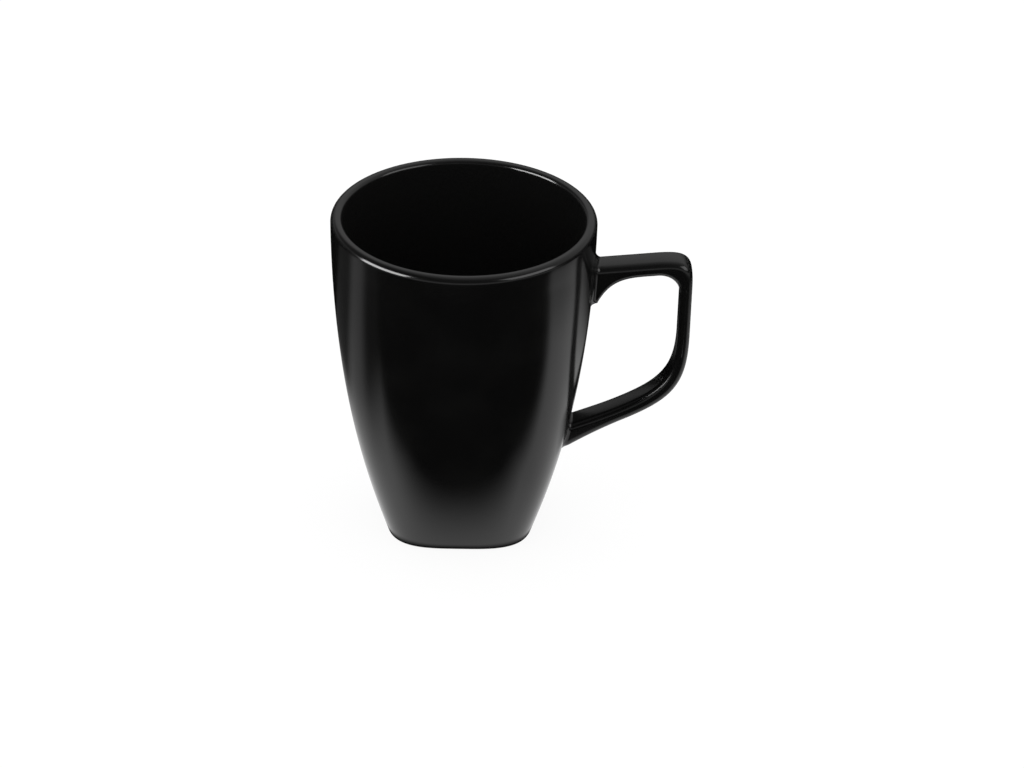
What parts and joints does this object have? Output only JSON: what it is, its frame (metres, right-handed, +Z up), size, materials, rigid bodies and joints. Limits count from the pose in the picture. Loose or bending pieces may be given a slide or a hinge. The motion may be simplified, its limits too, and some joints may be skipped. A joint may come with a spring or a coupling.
{
  "type": "ceramic mug",
  "caption": "Glazed mug with a round rim, walls that taper to a rounded-square foot, and an angular strap handle on the side.",
  "frame": {"origin": "centre of the foot ring, in the plane that the mug stands on", "axes": "+Z up out of the mouth, +X towards the handle, +Y across the mug; the mug is symmetric about the XZ plane"},
  "size_m": [0.1117, 0.082, 0.105],
  "materials": {
    "black_glaze": "satin black glaze",
    "glazed_slip": "clay slip under satin black glaze"
  },
  "bodies": {
    "root": {"cup_body": "black_glaze", "handle": "black_glaze", "upper_slip_joint": "glazed_slip", "lower_slip_joint": "glazed_slip"}
  },
  "joints": []
}
